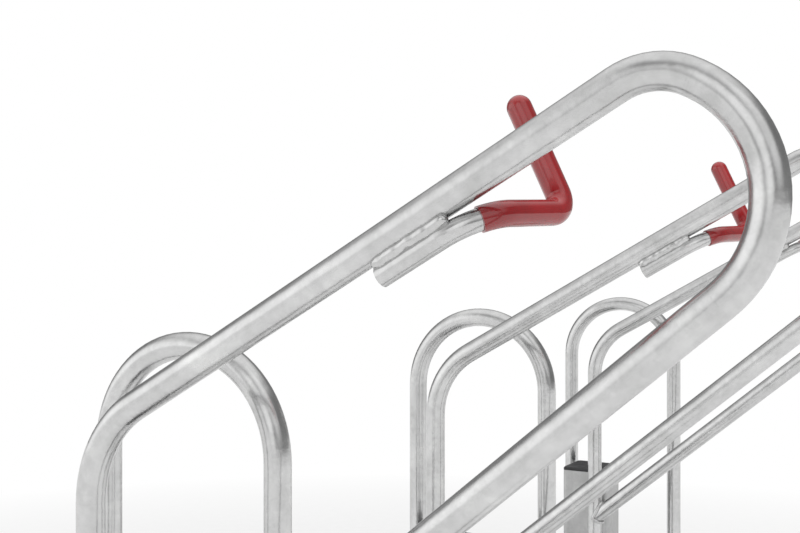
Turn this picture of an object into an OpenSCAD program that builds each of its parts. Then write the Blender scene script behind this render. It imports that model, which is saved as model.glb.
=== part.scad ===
// Hanging bike rack: a row of three welded front-wheel holders on one floor rail.
// The origin is the floor point under the middle post. +X runs along the row,
// -Y is the front, where a bicycle comes in, and +Z is up. Millimetres.

/* [Row] */
// Distance between neighbouring bicycle places
pitch = 450; // [400:10:600]
// How far the rail runs past the outer posts
rail_overhang = 100; // [60:5:150]

/* [Post and foot] */
// Width of the square post, which is also the width of the wheel slot
post_w = 60; // [50:1:75]
// Height of the post's steel top above the point where the lower arm meets the leg
post_rise = 57.5; // [50:0.5:90]
// Wall of the post
post_wall = 3; // [2:0.5:5]
// Height of the foot tube
foot_h = 40; // [30:1:50]
// Wall of the foot tube
foot_wall = 3; // [2:0.5:4]
// Reach of the foot in front of the post's centre
foot_front = 410; // [300:5:430]
// Length of foot behind the rail
foot_tail = 40; // [38:1:100]
// Outer corner radius of the square and rectangular tubes
corner_r = 6; // [4:0.5:8]
// Diameter of the floor anchor holes
anchor_d = 12; // [9:0.5:14]
// Distance of the anchor holes from the foot's ends
anchor_inset = 25; // [22:1:30]

/* [Round tube] */
// Outer diameter of the loop's and the hoop's tube
tube_d = 18; // [16:0.5:22]
// Wall of that tube
tube_wall = 2; // [1.5:0.5:3]

/* [Holder loop] */
// Distance of the loop's leg from the post's front face
leg_inset = 11; // [9:0.5:20]
// How far the leg runs down past the point where the lower arm meets it
leg_below = 52.5; // [45:0.5:80]
// Distance from the leg forward to the centre of the nose bend
nose_reach = 340.5; // [300:0.5:380]
// Height of the nose bend's centre above the floor
nose_height = 694.5; // [670:0.5:740]
// Centreline radius of the nose bend
nose_r = 60; // [54:0.5:70]
// Centreline radius of the tighter bend before the nose
crown_r = 37; // [28:0.5:42]
// Distance of the upper arm's centreline from the nose bend's centre
crown_rise = 50.7; // [47:0.1:53]
// Slope of the upper arm
arm_up = 29.4; // [20:0.1:35]
// Slope of the lower arm
arm_down = 40; // [36:1:46]
// Centreline radius of the bend between leg and upper arm
heel_r = 70; // [50:1:90]

/* [Locking hoop] */
// Distance of the hoop's rear leg behind the post's centre
hoop_back = 43; // [20:1:60]
// Distance between the centrelines of the hoop's two legs
hoop_w = 145; // [110:1:160]
// Height of the hoop's highest centreline point
hoop_top = 611; // [560:1:640]
// Height at which the hoop's legs end above the floor
hoop_clear = 4; // [2:1:12]

/* [Hook] */
// Diameter of the hook's round bar
bar_d = 12; // [10:0.5:14]
// Length of bar under the upper arm, from its cut end to the first corner
hook_lap = 64; // [60:1:90]
// Length of upper arm between that corner and the crown bend
hook_arm_len = 88; // [80:1:110]
// Reach of the hook across the slot
hook_reach = 67; // [60:1:72]
// How far the hook runs forward while it crosses
hook_forward = 20; // [10:0.5:25]
// How far the hook climbs while it crosses
hook_climb = 3; // [0:0.5:6]
// Centreline radius of the bend that leaves the arm
hook_bend_r = 32; // [24:1:34]
// Centreline radius of the bend up to the tip
tip_bend_r = 11; // [9:0.5:14]
// Length of the tip from its corner
tip_len = 64; // [45:1:70]
// Backward lean of the tip
tip_lean = 25; // [10:1:30]
// Part of the first bend that stays bare before the sleeve begins
bare_angle = 40; // [20:1:60]
// Wall of the plastic sleeve
sleeve_wall = 0.9; // [0.5:0.1:1.5]

/* [Rail and bolts] */
// Leg length of the equal angle rail
rail_w = 50; // [40:1:60]
// Thickness of the angle rail
rail_t = 5; // [4:0.5:6]
// Clearance between the rail and the hoops' rear legs or the posts in front of it
rail_gap = 8; // [6:1:30]
// Thread diameter of the rail bolts
bolt_d = 10; // [8:1:10]
// Distance between the two bolts in one foot
bolt_spacing = 28; // [24:1:30]
// Length of the rail bolts under the head
bolt_len = 22; // [18:1:26]

/* [Hidden] */
$fn = 96;
eps = 0.01;
// Gap at which pieces that are welded together meet
weld_gap = 0.2;
// Gap between the upper arm and the hook bar, which the beads bridge
hook_gap = 0.9;
// Gap between a weld bead and the steel beside it
bead_gap = 0.1;
// Radius of a long weld bead, and its centre's height over the face
bead_r = 3;
bead_lift = 1;
// Leg length of the beads at the post's lower end
post_bead = 4.5;
// Hairline gap at a joint of bend and straight, and the length of the ring inside that closes it
joint_gap = 0.02;
joint_len = 1.2;
// What the crown bend's radius gives up for a short straight before the nose bend
crown_slack = 3;
// Radius of the weld beads between arm and hook bar, how far they lie to each side, and length
hook_bead_r = 2.8;
hook_bead_out = 3.8;
hook_bead_len = 50;
// Loose fit of plugs, sleeves and inserts in their seats
plug_fit = 0.2;
sleeve_fit = 0.1;
bolt_fit = 0.1;
plug_flange = 4;
plug_skirt = 14;
plug_wall = 2;
plug_bevel = 1.5;
washer_t = 2;
insert_wall = 1.5;
insert_len = 16;
insert_bulb = 3;
rail_hole_play = 0.5;
// Width across flats, height and chamfer circle of the bolt heads, as shares of the thread
head_flats_share = 1.7;
head_h_share = 0.64;
head_chamfer_share = 0.96;

tube_r = tube_d / 2;
bar_r = bar_d / 2;
side_x = post_w / 2 + weld_gap + tube_r;
leg_f = post_w / 2 - leg_inset;
hoop_back_f = -hoop_back;
hoop_front_f = hoop_back_f + hoop_w;
sleeve_r = bar_r + sleeve_fit + sleeve_wall;

// Places in the side view are [forward, up] pairs, forward from the post's centre
arm_dir = [cos(arm_up), sin(arm_up)];
arm_normal = [-sin(arm_up), cos(arm_up)];
down_dir = [cos(arm_down), sin(arm_down)];
nose_centre = [leg_f + nose_reach, nose_height];
crown_full_r = crown_r + crown_slack;
crown_turn = acos((crown_rise - crown_full_r) / (nose_r - crown_full_r));
nose_turn = 180 + arm_up - arm_down - crown_turn;
crown_centre = nose_centre
  + (nose_r - crown_full_r) * [sin(crown_turn - arm_up), cos(crown_turn - arm_up)];
crown_start = crown_centre + crown_full_r * arm_normal;
crown_corner = crown_start + crown_full_r * tan(crown_turn / 2) * arm_dir;
nose_end = nose_centre + nose_r * [sin(arm_down), -cos(arm_down)];
nose_corner = nose_end + nose_r * tan(nose_turn / 2) * down_dir;
heel_corner = [leg_f, crown_start[1] - (crown_start[0] - leg_f) * tan(arm_up)];
arm_foot = [leg_f, nose_end[1] - (nose_end[0] - leg_f) * tan(arm_down)];
leg_bottom = arm_foot[1] - leg_below;
leg_len = heel_corner[1] - leg_bottom;
post_top = arm_foot[1] + post_rise;

// The hook's corners
bar_offset = tube_r + hook_gap + bar_r;
hook_corner_2d = crown_start - hook_arm_len * arm_dir - bar_offset * arm_normal;
hook_end_2d = hook_corner_2d - hook_lap * arm_dir;
hook_end = at(-side_x, hook_end_2d);
hook_corner = at(-side_x, hook_corner_2d);
tip_corner = hook_corner + at(hook_reach, [hook_forward, hook_climb]);
tip_end = tip_corner + tip_len * at(0, [-sin(tip_lean), cos(tip_lean)]);

// The rail's front face, its bolts and its top face, and the foot's rear end
rail_y = max(post_w / 2, hoop_back + tube_r) + rail_gap;
bolt_y = rail_y + (rail_t + rail_w) / 2;
foot_rear = rail_y + rail_w + foot_tail;
rail_top = foot_h + rail_t;

// A point at x in a side-view place
function at(x, place) = [x, -place[0], place[1]];
function unit(v) = v / norm(v);
function turn_at(a, b, c) = acos(unit(b - a) * unit(c - b));
function bend_len(a, b, c, r) = r * tan(turn_at(a, b, c) / 2);

module place(i) {
  translate([(i - 2) * pitch, 0, 0]) children();
}

// Turns +Z to dir and +X to the side that the path bends to, with its start at p
module frame_at(p, dir, side) {
  y = cross(dir, side);
  multmatrix([
    [side[0], y[0], dir[0], p[0]],
    [side[1], y[1], dir[1], p[1]],
    [side[2], y[2], dir[2], p[2]],
    [0, 0, 0, 1]
  ]) children();
}

// Any direction square to v
function square_to(v) = unit(abs(v[0]) < 0.9 ? cross(v, [1, 0, 0]) : cross(v, [0, 1, 0]));
// The side that the path a, b, c bends to
function bend_side(a, b, c) =
  let (d = unit(b - a), e = unit(c - b)) unit(e - (d * e) * d);

module ring(r, bore) {
  difference() {
    circle(r);
    if (bore > 0) circle(bore);
  }
}

module straight(a, b, r, bore = 0) {
  frame_at(a, unit(b - a), square_to(unit(b - a)))
    linear_extrude(norm(b - a)) ring(r, bore);
}

// A ring inside the wall that makes a straight and the bend beside it one piece
module joint_ring(p, dir, r, bore = 0) {
  inset = (r - bore) / 4;
  half = joint_len / 2 * dir;
  straight(p - half, p + half, r - inset, bore > 0 ? bore + inset : 0);
}

// The bend at b of the path a, b, c, without its first skip degrees
module bend(a, b, c, bend_r, r, bore = 0, skip = 0) {
  turn = turn_at(a, b, c);
  start = b - bend_len(a, b, c, bend_r) * unit(b - a);
  frame_at(start, unit(b - a), bend_side(a, b, c))
    translate([bend_r, 0, 0]) rotate([90, 0, 0]) rotate([0, 0, 180 - turn])
      rotate_extrude(angle = turn - skip) translate([bend_r, 0]) ring(r, bore);
}

// A bent tube or bar through points, with one bend radius for each inner point
module bent(points, radii, r, bore = 0) {
  last = len(points) - 1;
  cut = [for (i = [0:last]) i == 0 || i == last ? 0
    : bend_len(points[i - 1], points[i], points[i + 1], radii[i - 1])];
  for (i = [0:last - 1]) {
    d = unit(points[i + 1] - points[i]);
    from = points[i] + cut[i] * d;
    to = points[i + 1] - cut[i + 1] * d;
    straight(i == 0 ? from : from + joint_gap * d, i == last - 1 ? to : to - joint_gap * d, r, bore);
    if (i > 0) joint_ring(from, d, r, bore);
    if (i < last - 1) joint_ring(to, d, r, bore);
  }
  for (i = [1:last - 1])
    bend(points[i - 1], points[i], points[i + 1], radii[i - 1], r, bore);
}

// A rectangle with round corners about the origin
module round_rect(w, h, r) {
  square([w - 2 * r, h], center = true);
  square([w, h - 2 * r], center = true);
  for (x = [-1, 1], y = [-1, 1])
    translate([x * (w / 2 - r), y * (h / 2 - r)]) circle(r);
}

module box_tube(w, h, wall, r, length) {
  linear_extrude(length) difference() {
    round_rect(w, h, r);
    round_rect(w - 2 * wall, h - 2 * wall, r - wall);
  }
}

// A plug whose flange lies on the end of a box tube and whose skirt fits inside
module plug(w, h, wall, r) {
  inner = wall + plug_fit;
  bevel = plug_bevel;
  hull() {
    linear_extrude(plug_flange - bevel) round_rect(w, h, r, $fn = 32);
    linear_extrude(plug_flange) round_rect(w - 2 * bevel, h - 2 * bevel, r - bevel, $fn = 32);
  }
  translate([0, 0, -plug_skirt]) linear_extrude(plug_skirt) difference() {
    round_rect(w - 2 * inner, h - 2 * inner, r - inner);
    round_rect(w - 2 * inner - 2 * plug_wall, h - 2 * inner - 2 * plug_wall, eps);
  }
}

// Lays a piece that stands on the origin along the foot, from y towards the front or rear
module along_foot(y, side) {
  translate([0, y, foot_h / 2]) rotate([side > 0 ? -90 : 90, 0, 0]) children();
}

module foot() {
  color("silver") difference() {
    along_foot(-foot_front, 1)
      box_tube(post_w, foot_h, foot_wall, corner_r, foot_front + foot_rear);
    for (y = [-foot_front + anchor_inset, foot_rear - anchor_inset])
      translate([0, y, -eps]) cylinder(d = anchor_d, h = foot_h + 2 * eps);
    for (x = [-1, 1])
      translate([x * bolt_spacing / 2, bolt_y, foot_h / 2])
        cylinder(r = bolt_d / 2 + insert_wall + bolt_fit, h = foot_h);
  }
}

module post() {
  color("silver") translate([0, 0, foot_h])
    box_tube(post_w, post_w, post_wall, corner_r, post_top - foot_h);
}

module post_cap() {
  color("#222222") translate([0, 0, post_top]) plug(post_w, post_w, post_wall, corner_r);
}

// The loop: leg, heel bend, upper arm, crown and nose bends and lower arm.
// The lower arm ends in a saddle cut round the leg.
module holder_loop() {
  bore = tube_r - tube_wall;
  arm_start = nose_end - tube_d * down_dir;
  color("silver") {
    bent(
      [at(-side_x, [leg_f, leg_bottom]), at(-side_x, heel_corner), at(-side_x, crown_corner),
       at(-side_x, nose_corner), at(-side_x, arm_start)],
      [heel_r, crown_r, nose_r], tube_r, bore);
    difference() {
      straight(at(-side_x, arm_start - joint_gap * down_dir), at(-side_x, arm_foot), tube_r, bore);
      translate(at(-side_x, [leg_f, leg_bottom])) cylinder(r = tube_r + weld_gap, h = leg_len);
    }
    joint_ring(at(-side_x, arm_start), at(0, down_dir), tube_r, bore);
  }
}

module locking_hoop() {
  bore = tube_r - tube_wall;
  bend_z = hoop_top - hoop_w / 2;
  color("silver") translate([side_x, -(hoop_back_f + hoop_front_f) / 2, hoop_clear]) {
    translate([0, 0, bend_z - hoop_clear]) rotate([90, 0, 90])
      rotate_extrude(angle = 180) translate([hoop_w / 2, 0]) ring(tube_r, bore);
    for (y = [-1, 1])
      translate([0, y * hoop_w / 2, 0]) linear_extrude(bend_z - hoop_clear) ring(tube_r, bore);
  }
}

module hook_bar() {
  color("silver")
    bent([hook_end, hook_corner, tip_corner, tip_end], [hook_bend_r, tip_bend_r], bar_r);
}

// The sleeve begins inside the hook's first bend and closes round the tip
module hook_sleeve() {
  bore = bar_r + sleeve_fit;
  across = unit(tip_corner - hook_corner);
  tip_dir = unit(tip_end - tip_corner);
  bend_end = hook_corner + bend_len(hook_end, hook_corner, tip_corner, hook_bend_r) * across;
  dome_start = tip_end + sleeve_fit * tip_dir;
  color("#a81e22") {
    bend(hook_end, hook_corner, tip_corner, hook_bend_r, sleeve_r, bore, bare_angle);
    joint_ring(bend_end, across, sleeve_r, bore);
    bent([bend_end + joint_gap * across, tip_corner, dome_start], [tip_bend_r], sleeve_r, bore);
    difference() {
      translate(dome_start) sphere(sleeve_r);
      straight(dome_start - 2 * sleeve_r * tip_dir, dome_start + joint_gap * tip_dir, 2 * sleeve_r);
    }
    joint_ring(dome_start, tip_dir, sleeve_r, bore);
  }
}

// Beads on both sides of the groove between the upper arm and the hook bar.
// The bead beside the wheel slot ends where the bar bends away.
module hook_weld() {
  arm_axis = hook_end + bar_offset * at(0, arm_normal);
  run = hook_bead_len * at(0, arm_dir);
  bar_straight = hook_lap - bend_len(hook_end, hook_corner, tip_corner, hook_bend_r);
  short_run = min(hook_bead_len, bar_straight) * at(0, arm_dir);
  groove = hook_end + (bar_r + hook_gap / 2) * at(0, arm_normal);
  color("gainsboro") for (side = [-1, 1]) difference() {
    start = groove + [side * hook_bead_out, 0, 0];
    straight(start, start + (side > 0 ? short_run : run), hook_bead_r);
    straight(arm_axis - run, arm_axis + 2 * run, tube_r + bead_gap);
    straight(hook_end - run, hook_end + 2 * run, bar_r + bead_gap);
  }
}

// Beads on both sides of a round leg that lies on the flat side of the post or the foot
module leg_beads(side, f, low, high) {
  for (s = [-1, 1]) difference() {
    translate(at(side * (post_w / 2 + bead_lift), [f + s * (tube_r - bead_r), low]))
      cylinder(r = bead_r, h = high - low);
    translate(at(side * side_x, [f, low - eps]))
      cylinder(r = tube_r + bead_gap, h = high - low + 2 * eps);
    translate([-post_w / 2 - bead_gap, -f - post_w, low - eps])
      cube([post_w + 2 * bead_gap, 2 * post_w, high - low + 2 * eps]);
  }
}

// Beads in the upper and the lower corner between the lower arm and the leg
module arm_beads() {
  front_f = leg_f + tube_r;
  arm_z = arm_foot[1] + tube_r * tan(arm_down);
  corner_up = tube_r / cos(arm_down) + bead_lift;
  for (s = [-1, 1]) difference() {
    translate(at(-side_x - tube_r / 2, [front_f + bead_lift, arm_z + s * corner_up]))
      rotate([0, 90, 0]) cylinder(r = bead_r, h = tube_r);
    straight(at(-side_x, arm_foot - tube_d * down_dir), at(-side_x, arm_foot + 2 * tube_d * down_dir),
      tube_r + bead_gap);
    translate(at(-side_x, [leg_f, leg_bottom])) cylinder(r = tube_r + bead_gap, h = leg_len);
  }
}

// Beads along the front and the rear edge of the post's lower end
module post_beads() {
  for (s = [-1, 1])
    translate([-post_w / 2 + corner_r, s * (post_w / 2 + bead_gap), foot_h + bead_gap])
      rotate([90, 0, 90]) linear_extrude(post_w - 2 * corner_r)
        polygon([[0, 0], [s * post_bead, 0], [0, post_bead]]);
}

module frame_welds() {
  arm_half = (tube_r + bead_r) / cos(arm_down) + bead_r;
  color("gainsboro") {
    leg_beads(-1, leg_f, leg_bottom + bead_r, arm_foot[1] - arm_half);
    leg_beads(-1, leg_f, arm_foot[1] + 2 * arm_half, post_top - bead_r);
    leg_beads(1, hoop_back_f, corner_r + bead_r, foot_h - corner_r - bead_r);
    leg_beads(1, hoop_front_f, corner_r + bead_r, foot_h - corner_r - bead_r);
    arm_beads();
    post_beads();
  }
}

module row_rail() {
  length = 2 * (pitch + rail_overhang);
  root_r = rail_t;
  color("silver") difference() {
    translate([-length / 2, rail_y, foot_h]) rotate([90, 0, 90]) linear_extrude(length)
      union() {
        square([rail_w, rail_t]);
        square([rail_t, rail_w]);
        difference() {
          square([rail_t + root_r, rail_t + root_r]);
          translate([rail_t + root_r, rail_t + root_r]) circle(root_r);
        }
      }
    for (i = [1:3]) place(i) for (x = [-1, 1])
      translate([x * bolt_spacing / 2, bolt_y, foot_h - eps])
        cylinder(r = bolt_d / 2 + rail_hole_play, h = rail_t + 2 * eps);
  }
}

// Puts a piece at every rail bolt, at height z
module at_bolts(z) {
  for (i = [1:3]) place(i) for (x = [-1, 1])
    translate([x * bolt_spacing / 2, bolt_y, z]) children();
}

module rail_bolts() {
  across_flats = head_flats_share * bolt_d;
  head_h = head_h_share * bolt_d;
  color("gainsboro") at_bolts(rail_top + washer_t) {
    intersection() {
      cylinder(d = across_flats / cos(30), h = head_h, $fn = 6);
      cylinder(r1 = across_flats, r2 = head_chamfer_share * across_flats / 2, h = head_h);
    }
    translate([0, 0, -bolt_len]) cylinder(d = bolt_d, h = bolt_len + eps);
  }
}

module rail_washers() {
  color("gainsboro") at_bolts(rail_top) difference() {
    cylinder(d = 2 * bolt_d, h = washer_t);
    translate([0, 0, -eps]) cylinder(r = bolt_d / 2 + bolt_fit, h = washer_t + 2 * eps);
  }
}

// Threaded inserts riveted into the foot's top wall
module rail_inserts() {
  r = bolt_d / 2 + insert_wall;
  color("gainsboro") at_bolts(foot_h - insert_len) difference() {
    union() {
      cylinder(r = r, h = insert_len);
      translate([0, 0, insert_len - foot_wall - insert_bulb])
        cylinder(r = r + insert_wall, h = insert_bulb - bolt_fit);
    }
    translate([0, 0, -eps]) cylinder(r = bolt_d / 2 + bolt_fit, h = insert_len + 2 * eps);
  }
}

module foot_plugs() {
  color("#222222") for (i = [1:3]) place(i) {
    along_foot(-foot_front, -1) plug(post_w, foot_h, foot_wall, corner_r);
    along_foot(foot_rear, 1) plug(post_w, foot_h, foot_wall, corner_r);
  }
}

place(1) foot();  // foot_1
place(2) foot();  // foot_2
place(3) foot();  // foot_3
place(1) post();  // post_1
place(2) post();  // post_2
place(3) post();  // post_3
place(1) post_cap();  // post_cap_1
place(2) post_cap();  // post_cap_2
place(3) post_cap();  // post_cap_3
place(1) holder_loop();  // holder_loop_1
place(2) holder_loop();  // holder_loop_2
place(3) holder_loop();  // holder_loop_3
place(1) locking_hoop();  // locking_hoop_1
place(2) locking_hoop();  // locking_hoop_2
place(3) locking_hoop();  // locking_hoop_3
place(1) hook_bar();  // hook_bar_1
place(2) hook_bar();  // hook_bar_2
place(3) hook_bar();  // hook_bar_3
place(1) hook_sleeve();  // hook_sleeve_1
place(2) hook_sleeve();  // hook_sleeve_2
place(3) hook_sleeve();  // hook_sleeve_3
place(1) hook_weld();  // hook_weld_1
place(2) hook_weld();  // hook_weld_2
place(3) hook_weld();  // hook_weld_3
place(1) frame_welds();  // frame_welds_1
place(2) frame_welds();  // frame_welds_2
place(3) frame_welds();  // frame_welds_3
row_rail();
rail_bolts();
rail_washers();
rail_inserts();
foot_plugs();
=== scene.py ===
import math

import bpy
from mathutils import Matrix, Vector, noise


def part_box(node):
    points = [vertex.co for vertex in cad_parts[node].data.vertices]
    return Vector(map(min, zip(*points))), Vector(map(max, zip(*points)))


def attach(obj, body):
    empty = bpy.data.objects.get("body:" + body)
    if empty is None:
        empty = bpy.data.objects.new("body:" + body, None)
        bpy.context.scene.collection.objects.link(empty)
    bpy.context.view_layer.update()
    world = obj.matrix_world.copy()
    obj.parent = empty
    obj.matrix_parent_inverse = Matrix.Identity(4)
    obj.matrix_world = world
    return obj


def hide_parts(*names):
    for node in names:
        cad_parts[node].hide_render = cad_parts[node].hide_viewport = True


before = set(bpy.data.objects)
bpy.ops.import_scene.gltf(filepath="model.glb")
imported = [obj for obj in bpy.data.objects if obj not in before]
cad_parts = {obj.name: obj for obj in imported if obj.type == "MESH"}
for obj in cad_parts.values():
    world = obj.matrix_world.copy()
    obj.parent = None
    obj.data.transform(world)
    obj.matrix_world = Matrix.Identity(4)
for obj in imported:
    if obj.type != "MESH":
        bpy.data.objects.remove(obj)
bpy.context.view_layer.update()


# Helpers for shader node trees
def new_material(name):
    mat = bpy.data.materials.new(name)
    mat.use_nodes = True
    tree = mat.node_tree
    tree.nodes.clear()
    out = tree.nodes.new("ShaderNodeOutputMaterial")
    return mat, tree, out


def put(tree, socket, value):
    """Gives an input its value: another node's output is linked, a colour gets its alpha"""
    if isinstance(value, bpy.types.NodeSocket):
        tree.links.new(value, socket)
    elif socket.type == "RGBA":
        socket.default_value = (*value, 1.0)
    else:
        socket.default_value = value


def grey(value):
    return (value, value, value)


def coords(tree, scale=(1, 1, 1)):
    """The object's own coordinates in metres, stretched by a scale along each axis"""
    source = tree.nodes.new("ShaderNodeTexCoord")
    mapping = tree.nodes.new("ShaderNodeMapping")
    put(tree, mapping.inputs["Scale"], scale)
    put(tree, mapping.inputs["Vector"], source.outputs["Object"])
    return mapping.outputs["Vector"]


def noise_tex(tree, place, scale, detail=3.0, rough=0.5, distortion=0.0):
    texture = tree.nodes.new("ShaderNodeTexNoise")
    put(tree, texture.inputs["Vector"], place)
    put(tree, texture.inputs["Scale"], scale)
    put(tree, texture.inputs["Detail"], detail)
    put(tree, texture.inputs["Roughness"], rough)
    put(tree, texture.inputs["Distortion"], distortion)
    return texture.outputs["Fac"]


def voronoi_tex(tree, place, scale, output="Color"):
    texture = tree.nodes.new("ShaderNodeTexVoronoi")
    put(tree, texture.inputs["Vector"], place)
    put(tree, texture.inputs["Scale"], scale)
    return texture.outputs[output]


def ramp(tree, value, stops):
    """A colour ramp through (position, colour) stops"""
    node = tree.nodes.new("ShaderNodeValToRGB")
    elements = node.color_ramp.elements
    while len(elements) < len(stops):
        elements.new(0.5)
    for element, (position, color) in zip(elements, stops):
        element.position = position
        element.color = (*color, 1.0)
    put(tree, node.inputs["Fac"], value)
    return node.outputs["Color"]


def mix_color(tree, factor, a, b, mode="MIX"):
    node = tree.nodes.new("ShaderNodeMix")
    node.data_type = "RGBA"
    node.blend_type = mode
    put(tree, node.inputs["Factor"], factor)
    colors = [socket for socket in node.inputs if socket.type == "RGBA"]
    put(tree, colors[0], a)
    put(tree, colors[1], b)
    return [socket for socket in node.outputs if socket.type == "RGBA"][0]


def darken(tree, base, pattern, amount, darkest, start=0.0, end=1.0):
    """Multiplies base, to the given amount, by a pattern that goes from darkest at start to 1 at end"""
    shade = ramp(tree, pattern, [(start, grey(darkest)), (end, grey(1.0))])
    return mix_color(tree, amount, base, shade, "MULTIPLY")


def map_range(tree, value, low, high, start=0.0, end=1.0, interpolation="LINEAR"):
    """Goes from low, where value is at start, to high, where it is at end"""
    node = tree.nodes.new("ShaderNodeMapRange")
    node.interpolation_type = interpolation
    put(tree, node.inputs["Value"], value)
    put(tree, node.inputs["From Min"], start)
    put(tree, node.inputs["From Max"], end)
    put(tree, node.inputs["To Min"], low)
    put(tree, node.inputs["To Max"], high)
    return node.outputs["Result"]


def math_node(tree, operation, a, b):
    node = tree.nodes.new("ShaderNodeMath")
    node.operation = operation
    put(tree, node.inputs[0], a)
    put(tree, node.inputs[1], b)
    return node.outputs["Value"]


def vector_length(tree, vector):
    node = tree.nodes.new("ShaderNodeVectorMath")
    node.operation = "LENGTH"
    put(tree, node.inputs[0], vector)
    return node.outputs["Value"]


def soft_box(tree, direction, azimuth, height, outer, inner, strength):
    """A cone of directions: strength within its inner half angle, fading to 0 at the outer one"""
    azimuth = math.radians(azimuth)
    height = math.radians(height)
    sideways = math.cos(height)
    node = tree.nodes.new("ShaderNodeVectorMath")
    node.operation = "DOT_PRODUCT"
    put(tree, node.inputs[0], direction)
    middle = (math.cos(azimuth) * sideways, math.sin(azimuth) * sideways, math.sin(height))
    put(tree, node.inputs[1], middle)
    edge = math.cos(math.radians(outer))
    full = math.cos(math.radians(inner))
    return map_range(tree, node.outputs["Value"], 0.0, strength, edge, full, "SMOOTHSTEP")


def seen_by(tree, *rays):
    """1 for rays of the named kinds, 0 for all others"""
    path = tree.nodes.new("ShaderNodeLightPath")
    seen = path.outputs[rays[0]]
    for ray in rays[1:]:
        seen = math_node(tree, "MAXIMUM", seen, path.outputs[ray])
    return seen


def bump(tree, height, strength, distance, normal=None):
    node = tree.nodes.new("ShaderNodeBump")
    put(tree, node.inputs["Height"], height)
    put(tree, node.inputs["Strength"], strength)
    put(tree, node.inputs["Distance"], distance)
    if normal is not None:
        put(tree, node.inputs["Normal"], normal)
    return node.outputs["Normal"]


def principled(tree, out, inputs):
    """The surface's shader, with its inputs by name"""
    shader = tree.nodes.new("ShaderNodeBsdfPrincipled")
    for name, value in inputs.items():
        put(tree, shader.inputs[name], value)
    put(tree, out.inputs["Surface"], shader.outputs["BSDF"])


# Materials. Noise scales are per metre, bump distances are in metres.
def zinc_tone(value):
    """A zinc grey with a trace of green"""
    return (value, value * 1.005, value * 0.995)


def galvanised(name, dark=0.56, light=0.74, rough=(0.16, 0.29), lumps=1.0, grain=(260, 9, 9)):
    """Hot-dip zinc: soft clouds, faint crystals and flecks, streaks along the grain, a slightly wavy skin"""
    mat, tree, out = new_material(name)
    place = coords(tree)
    clouds = noise_tex(tree, place, 30, detail=4, rough=0.6, distortion=0.4)
    crystals = voronoi_tex(tree, place, 260)
    flecks = noise_tex(tree, place, 170, rough=0.6, distortion=0.3)
    streaks = noise_tex(tree, coords(tree, grain), 1.0, rough=0.55, distortion=0.2)

    tones = [(0.28, zinc_tone(dark)), (0.52, grey((dark + light) / 2)), (0.74, zinc_tone(light))]
    base = ramp(tree, clouds, tones)
    base = darken(tree, base, crystals, amount=0.28, darkest=0.8)
    base = darken(tree, base, flecks, amount=0.4, darkest=0.84, start=0.36, end=0.6)
    base = darken(tree, base, streaks, amount=0.18, darkest=0.72, start=0.34, end=0.6)

    cloud_part = math_node(tree, "MULTIPLY", clouds, 0.6)
    streak_part = math_node(tree, "MULTIPLY", streaks, 0.4)
    dullness = math_node(tree, "ADD", cloud_part, streak_part)
    roughness = map_range(tree, dullness, *rough, start=0.3, end=0.7)

    waves = noise_tex(tree, place, 60, detail=2)
    ripples = noise_tex(tree, place, 190, detail=2)
    fine = noise_tex(tree, place, 620, rough=0.6)
    normal = bump(tree, waves, strength=0.55 * lumps, distance=0.0007)
    normal = bump(tree, ripples, strength=0.3 * lumps, distance=0.0002, normal=normal)
    normal = bump(tree, fine, strength=0.22 * lumps, distance=0.00008, normal=normal)
    normal = bump(tree, streaks, strength=0.1, distance=0.0001, normal=normal)
    principled(tree, out, {"Base Color": base, "Metallic": 1.0, "Roughness": roughness, "Normal": normal})
    return mat


def glossy_plastic(name, dark, light, rough):
    """A smooth dipped skin under a clear coat, with faint scuffs"""
    mat, tree, out = new_material(name)
    place = coords(tree)
    base = ramp(tree, noise_tex(tree, place, 60), [(0.3, dark), (0.7, light)])
    scuffs = noise_tex(tree, place, 160, rough=0.6)
    roughness = map_range(tree, scuffs, rough, rough + 0.05, start=0.35, end=0.75)
    normal = bump(tree, noise_tex(tree, place, 45, detail=1, rough=0.4), strength=0.15, distance=0.0008)
    inputs = {"Base Color": base, "Roughness": roughness, "Normal": normal}
    principled(tree, out, {**inputs, "IOR": 1.58, "Coat Weight": 0.6, "Coat Roughness": 0.08})
    return mat


def grained_plastic(name, dark, light, rough=0.5):
    """A dull moulded plastic with a fine grain"""
    mat, tree, out = new_material(name)
    place = coords(tree)
    base = ramp(tree, noise_tex(tree, place, 45), [(0.3, dark), (0.7, light)])
    grain = voronoi_tex(tree, place, 1500, "Distance")
    wear = noise_tex(tree, place, 120)
    roughness = map_range(tree, wear, rough - 0.08, rough + 0.1, start=0.3, end=0.7)
    normal = bump(tree, grain, strength=0.3, distance=0.0001)
    principled(tree, out, {"Base Color": base, "Roughness": roughness, "Normal": normal})
    return mat


STEEL = galvanised("galvanised_steel")
WELD = galvanised("zinc_coated_weld", rough=(0.11, 0.23), lumps=1.3)
HARDWARE = galvanised("zinc_hardware", dark=0.56, light=0.70, rough=(0.2, 0.3), lumps=0.5)
# The rail, the post and the foot are copies of the same zinc, darker and duller than the tubes
RAIL = galvanised("galvanised_rail", dark=0.52, light=0.66, rough=(0.28, 0.42), grain=(9, 260, 260))
POST = galvanised("galvanised_post", dark=0.44, light=0.56, rough=(0.32, 0.46), grain=(150, 150, 9))
FOOT = galvanised("galvanised_foot", dark=0.48, light=0.62, rough=(0.30, 0.44), grain=(150, 9, 150))
RED = glossy_plastic("red_sleeve", dark=(0.23, 0.003, 0.005), light=(0.30, 0.004, 0.007), rough=0.10)
BLACK = grained_plastic("black_plastic", dark=(0.012, 0.012, 0.013), light=(0.028, 0.028, 0.03))


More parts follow.
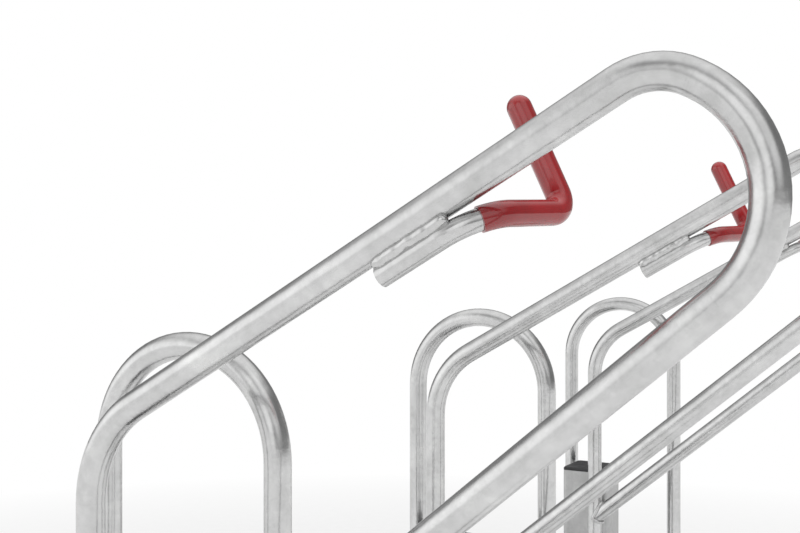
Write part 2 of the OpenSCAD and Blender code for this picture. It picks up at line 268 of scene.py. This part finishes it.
def material_for(node):
    if node.startswith("hook_sleeve"):
        return RED
    if node.startswith("post_cap") or node == "foot_plugs":
        return BLACK
    if "weld" in node:
        return WELD
    if node in ("rail_bolts", "rail_washers", "rail_inserts"):
        return HARDWARE
    if node == "row_rail":
        return RAIL
    if node.startswith("post"):
        return POST
    if node.startswith("foot"):
        return FOOT
    return STEEL


for name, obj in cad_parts.items():
    obj.data.materials.clear()
    obj.data.materials.append(material_for(name))


# Where the weld beads lie, in millimetres and radians. The middle place stands at x = 0.
METRES_PER_MM = 0.001


def box_mm(node):
    """A node's lowest and highest corner in the frame, to a thousandth of a millimetre"""
    return [[round(value / METRES_PER_MM, 3) for value in corner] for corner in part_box(node)]


# The post, the foot's top, the hoop's two legs and the loop's leg, from the frame
POST_LOW, POST_HIGH = box_mm("post_2")
HOOP_LOW, HOOP_HIGH = box_mm("locking_hoop_2")
LOOP_BACK_Y = box_mm("holder_loop_2")[1][1]
POST_HALF = POST_HIGH[0]
FOOT_TOP = POST_LOW[2]
TUBE_RADIUS = (HOOP_HIGH[0] - HOOP_LOW[0]) / 2
TUBE_X = (HOOP_HIGH[0] + HOOP_LOW[0]) / 2
HOOP_REAR_Y = HOOP_HIGH[1] - TUBE_RADIUS
HOOP_FRONT_Y = HOOP_LOW[1] + TUBE_RADIUS
LEG_Y = LOOP_BACK_Y - TUBE_RADIUS

# How steeply the loop's two arms climb from the leg to the nose
UPPER_ARM_CLIMB = math.radians(29.4)
LOWER_ARM_CLIMB = math.radians(40)

# The hook's two beads start here and climb along the upper arm, each this far from the arm's middle
HOOK_BEAD_Y = -221.5
HOOK_BEAD_Z = 664.1
HOOK_BEAD_SIDE = 3.6
HOOK_BEAD_RADIUS = 3.7
OUTER_HOOK_BEAD_LENGTH = 50
INNER_HOOK_BEAD_LENGTH = 39

# The beads beside upright tubes: their heights, and how far they lie from the face and the tube's middle
BELOW_SADDLE = (281, 311)
ABOVE_SADDLE = (368, 385)
BESIDE_FOOT = (10, 30)
LEG_BEAD_FROM_FACE = 2.2
LEG_BEAD_SIDE = 6.6
LEG_BEAD_RADIUS = 2.5

# The beads under the post: how far they lie out from its faces and up from the foot, and half their length
POST_BEAD_OUT = 1.2
POST_BEAD_HALF = 24
POST_BEAD_RADIUS = 2.7

# The bead round the lower arm's end: the height where the arm meets the leg, and its skin over both tubes
SADDLE_Z = 330.5
SADDLE_SKIN = 0.8
SADDLE_STEPS = 72
SADDLE_BEAD_RADIUS = 2.2

# How the beads look, in millimetres, or as shares where no unit is said
POINT_SPACING = 0.8
RING_SIDES = 14
NO_BEAD_RUNS_THIS_WAY = Vector((0.31, 0.52, 0.8))
END_LENGTH_IN_RADII = 1.6
END_SIZE = 0.25
RIPPLE_PITCH = 2.6
HOOK_RIPPLE_PITCH = 12.0
RIPPLE_BOW = 0.2
RIPPLE_DRIFT = 0.5
DRIFT_PER_MM = 0.12
RIPPLE_SHARE = 0.25
LUMPS_PER_MM = 0.16
LUMPS = 0.2
HOOK_LUMPS = 0.17
SEED_PER_PLACE = 17.0
SEED_PER_BEAD = 2.7
LUMP_SEED_FACTOR = 3.1


def bead(path, radius, pitch=RIPPLE_PITCH, lumps=LUMPS, closed=False):
    """A weld bead: the points of its middle line, and how it looks"""
    return {"path": path, "radius": radius, "pitch": pitch, "lumps": lumps, "closed": closed}


def straight(start, end):
    """Evenly spaced points from start to end"""
    start = Vector(start)
    end = Vector(end)
    count = round((end - start).length / POINT_SPACING)
    return [start.lerp(end, k / count) for k in range(count + 1)]


def end_taper(run, total, radius):
    """The share of its radius that an open bead has at a distance along it: both ends are rounded"""
    inwards = min(run, total - run) / (END_LENGTH_IN_RADII * radius)
    if inwards >= 1:
        return 1.0
    return END_SIZE + (1 - END_SIZE) * math.sqrt(max(0.0, 1 - (1 - inwards) ** 2))


def surface_share(run, angle, pitch, lumps, seed):
    """The share of its radius that a rippled, lumpy bead has at a distance along it and an angle"""
    drift = RIPPLE_DRIFT * noise.noise(Vector((run * DRIFT_PER_MM, seed, 0)))
    wave = math.sin(2 * math.pi * (run / pitch + RIPPLE_BOW * math.cos(angle) + drift))
    lump = noise.noise(Vector((run * LUMPS_PER_MM, math.cos(angle), seed * LUMP_SEED_FACTOR)))
    return 1 + lumps * (RIPPLE_SHARE * wave + lump)


def add_bead(verts, faces, path, radius, pitch, lumps, closed, seed):
    """Adds a bead as rings round the points of its path. An open bead gets a face at each end."""
    first = len(verts)
    count = len(path)
    total = sum((path[k + 1] - path[k]).length for k in range(count - 1))
    run = 0.0
    for k, point in enumerate(path):
        if closed:
            ahead = path[(k + 1) % count]
            behind = path[k - 1]
        else:
            ahead = path[min(k + 1, count - 1)]
            behind = path[max(k - 1, 0)]
        along = (ahead - behind).normalized()
        side = along.cross(NO_BEAD_RUNS_THIS_WAY).normalized()
        top = side.cross(along)
        if k:
            run += (point - path[k - 1]).length
        size = radius if closed else radius * end_taper(run, total, radius)
        for j in range(RING_SIDES):
            angle = 2 * math.pi * j / RING_SIDES
            r = size * surface_share(run, angle, pitch, lumps, seed)
            verts.append(point + r * (math.cos(angle) * side + math.sin(angle) * top))
    bands = count if closed else count - 1
    for k in range(bands):
        a = first + k * RING_SIDES
        b = first + (k + 1) % count * RING_SIDES
        for j in range(RING_SIDES):
            following = (j + 1) % RING_SIDES
            faces.append((a + j, a + following, b + following, b + j))
    if not closed:
        last = first + (count - 1) * RING_SIDES
        faces.append(tuple(first + j for j in reversed(range(RING_SIDES))))
        faces.append(tuple(last + j for j in range(RING_SIDES)))


def bead_piece(name, node, place, beads):
    """One object with all the beads that stand in for one of the frame's weld nodes"""
    verts = []
    faces = []
    for k, look in enumerate(beads):
        add_bead(verts, faces, **look, seed=place * SEED_PER_PLACE + k * SEED_PER_BEAD)
    low, high = box_mm(f"post_{place}")
    shift = Vector(((low[0] + high[0]) / 2, 0, 0))
    mesh = bpy.data.meshes.new(name)
    mesh.from_pydata([(v + shift) * METRES_PER_MM for v in verts], [], faces)
    for poly in mesh.polygons:
        poly.use_smooth = True
    mesh.materials.append(WELD)
    obj = bpy.data.objects.new(name, mesh)
    bpy.context.collection.objects.link(obj)
    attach(obj, "root")
    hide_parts(node)


def hook_beads():
    """One bead in the groove on each side, between the upper arm and the hook bar below it"""
    start = Vector((-TUBE_X, HOOK_BEAD_Y, HOOK_BEAD_Z))
    along = Vector((0, -math.cos(UPPER_ARM_CLIMB), math.sin(UPPER_ARM_CLIMB)))
    beads = []
    for side, length in ((-1, OUTER_HOOK_BEAD_LENGTH), (1, INNER_HOOK_BEAD_LENGTH)):
        first = start + Vector((side * HOOK_BEAD_SIDE, 0, 0))
        path = straight(first, first + length * along)
        beads.append(bead(path, HOOK_BEAD_RADIUS, HOOK_RIPPLE_PITCH, HOOK_LUMPS))
    return beads


def leg_beads(side, leg_y, heights):
    """One bead in the groove on each side, between an upright tube and the face that it stands against"""
    x = side * (POST_HALF + LEG_BEAD_FROM_FACE)
    beads = []
    for y in (leg_y - LEG_BEAD_SIDE, leg_y + LEG_BEAD_SIDE):
        path = straight((x, y, heights[0]), (x, y, heights[1]))
        beads.append(bead(path, LEG_BEAD_RADIUS))
    return beads


def post_beads():
    """One bead along the post's front and one along its back, on top of the foot"""
    z = FOOT_TOP + POST_BEAD_OUT
    beads = []
    for y in (-POST_HALF - POST_BEAD_OUT, POST_HALF + POST_BEAD_OUT):
        path = straight((-POST_BEAD_HALF, y, z), (POST_BEAD_HALF, y, z))
        beads.append(bead(path, POST_BEAD_RADIUS))
    return beads


def saddle_path():
    """The closed curve where a skin round the lower arm meets a skin round the loop's leg"""
    reach = TUBE_RADIUS + SADDLE_SKIN
    path = []
    for k in range(SADDLE_STEPS):
        angle = 2 * math.pi * k / SADDLE_STEPS
        across = reach * math.cos(angle)
        rise = reach * math.sin(angle)
        forward = abs(rise)
        up_the_arm = (forward + rise * math.sin(LOWER_ARM_CLIMB)) / math.cos(LOWER_ARM_CLIMB)
        z = up_the_arm * math.sin(LOWER_ARM_CLIMB) + rise * math.cos(LOWER_ARM_CLIMB)
        path.append(Vector((-TUBE_X + across, LEG_Y - forward, SADDLE_Z + z)))
    return path


def frame_beads():
    """The beads that join the loop and the hoop to the post and the foot, and the post to the foot"""
    beads = leg_beads(-1, LEG_Y, BELOW_SADDLE)
    beads += leg_beads(-1, LEG_Y, ABOVE_SADDLE)
    beads += leg_beads(1, HOOP_REAR_Y, BESIDE_FOOT)
    beads += leg_beads(1, HOOP_FRONT_Y, BESIDE_FOOT)
    beads += post_beads()
    beads.append(bead(saddle_path(), SADDLE_BEAD_RADIUS, closed=True))
    return beads


for place in (1, 2, 3):
    bead_piece(f"hook_bead_{place}", f"hook_weld_{place}", place, hook_beads())
    bead_piece(f"frame_beads_{place}", f"frame_welds_{place}", place, frame_beads())


# Studio: a plain pale floor, a room and three soft lamps. Metres, degrees and watts.
FLOOR_HALF = 30.0
FLOOR_TONES = (0.80, 0.83)
WHITE_FROM = 1.0
ALL_WHITE_BY = 2.4
ROOM_LIGHT = 0.75

# What metal and gloss mirror of the room: azimuth, height, outer and inner half angle in degrees, strength
SOFT_BOXES = {
    "left": (125, 0, 50, 15, 1.1),
    "behind the photograph's camera": (-170, 20, 30, 10, 1.0),
    "right": (-115, 35, 35, 10, 0.7),
    "above": (60, 80, 60, 20, 0.8),
}
BETWEEN_SOFT_BOXES = 0.25


def floor_material():
    """Pale and matt. Away from the rack it is white to the camera and in what metal and glass show."""
    mat, tree, out = new_material("floor")
    place = coords(tree)
    tones = [(0.3, grey(FLOOR_TONES[0])), (0.7, grey(FLOOR_TONES[1]))]
    matt = tree.nodes.new("ShaderNodeBsdfDiffuse")
    put(tree, matt.inputs["Color"], ramp(tree, noise_tex(tree, place, 40, detail=4), tones))
    white = tree.nodes.new("ShaderNodeEmission")
    put(tree, white.inputs["Color"], grey(1.0))
    far = map_range(tree, vector_length(tree, place), 0.0, 1.0, start=WHITE_FROM, end=ALL_WHITE_BY)
    seen = seen_by(tree, "Is Camera Ray", "Is Glossy Ray", "Is Transmission Ray")
    mix = tree.nodes.new("ShaderNodeMixShader")
    put(tree, mix.inputs[0], math_node(tree, "MULTIPLY", far, seen))
    put(tree, mix.inputs[1], matt.outputs["BSDF"])
    put(tree, mix.inputs[2], white.outputs["Emission"])
    put(tree, out.inputs["Surface"], mix.outputs["Shader"])
    return mat


def make_floor():
    mesh = bpy.data.meshes.new("floor")
    s = FLOOR_HALF
    mesh.from_pydata([(-s, -s, 0), (s, -s, 0), (s, s, 0), (-s, s, 0)], [], [(0, 1, 2, 3)])
    mesh.materials.append(floor_material())
    floor = bpy.data.objects.new("floor", mesh)
    bpy.context.collection.objects.link(floor)


def make_world():
    """White behind the rack, soft boxes for metal and gloss, an even grey light for all else"""
    world = bpy.data.worlds.new("room")
    world.use_nodes = True
    tree = world.node_tree
    tree.nodes.clear()
    direction = tree.nodes.new("ShaderNodeTexCoord").outputs["Generated"]
    mirrored = BETWEEN_SOFT_BOXES
    for box in SOFT_BOXES.values():
        mirrored = math_node(tree, "ADD", soft_box(tree, direction, *box), mirrored)
    room = mix_color(tree, seen_by(tree, "Is Glossy Ray"), grey(ROOM_LIGHT), mirrored)
    seen = seen_by(tree, "Is Camera Ray", "Is Transmission Ray")
    background = tree.nodes.new("ShaderNodeBackground")
    put(tree, background.inputs["Color"], mix_color(tree, seen, room, grey(1.0)))
    out = tree.nodes.new("ShaderNodeOutputWorld")
    put(tree, out.inputs["Surface"], background.outputs["Background"])
    bpy.context.scene.world = world


def soft_lamp(name, place, target, size, watts):
    """A rectangular lamp that metal doesn't mirror"""
    light = bpy.data.lights.new(name, "AREA")
    light.shape = "RECTANGLE"
    light.size = size[0]
    light.size_y = size[1]
    light.energy = watts
    obj = bpy.data.objects.new(name, light)
    obj.location = place
    obj.rotation_euler = (Vector(target) - Vector(place)).to_track_quat("-Z", "Y").to_euler()
    obj.visible_glossy = False
    bpy.context.collection.objects.link(obj)


make_floor()
make_world()
soft_lamp("top_softbox", place=(-0.6, -0.6, 3.0), target=(0, -0.2, 0.4), size=(2.6, 2.0), watts=42)
soft_lamp("left_softbox", place=(-2.6, 0.9, 1.7), target=(-0.2, -0.2, 0.5), size=(1.2, 1.8), watts=16)
soft_lamp("right_softbox", place=(0.9, -3.0, 1.5), target=(0, -0.2, 0.5), size=(1.6, 1.2), watts=14)

# The camera that was fitted to the photograph. It looks level, and its heading is clockwise from y.
PHOTO_WIDTH_PX = 800
PHOTO_HEIGHT_PX = 533
FOCAL_LENGTH_PX = 1100
HORIZON_ROW_PX = 264.5
SENSOR_WIDTH_MM = 36.0
CAMERA_PLACE = (-0.979, -0.5155, 0.665)
CAMERA_HEADING = 60.3
CLIP_START = 0.02

camera_data = bpy.data.cameras.new("camera")
camera_data.sensor_width = SENSOR_WIDTH_MM
camera_data.lens = SENSOR_WIDTH_MM * FOCAL_LENGTH_PX / PHOTO_WIDTH_PX
camera_data.shift_y = (HORIZON_ROW_PX - PHOTO_HEIGHT_PX / 2) / PHOTO_WIDTH_PX
camera_data.clip_start = CLIP_START
camera = bpy.data.objects.new("camera", camera_data)
camera.location = CAMERA_PLACE
camera.rotation_euler = (math.radians(90), 0, math.radians(-CAMERA_HEADING))
bpy.context.collection.objects.link(camera)
bpy.context.scene.camera = camera
bpy.context.scene.view_settings.view_transform = "Standard"
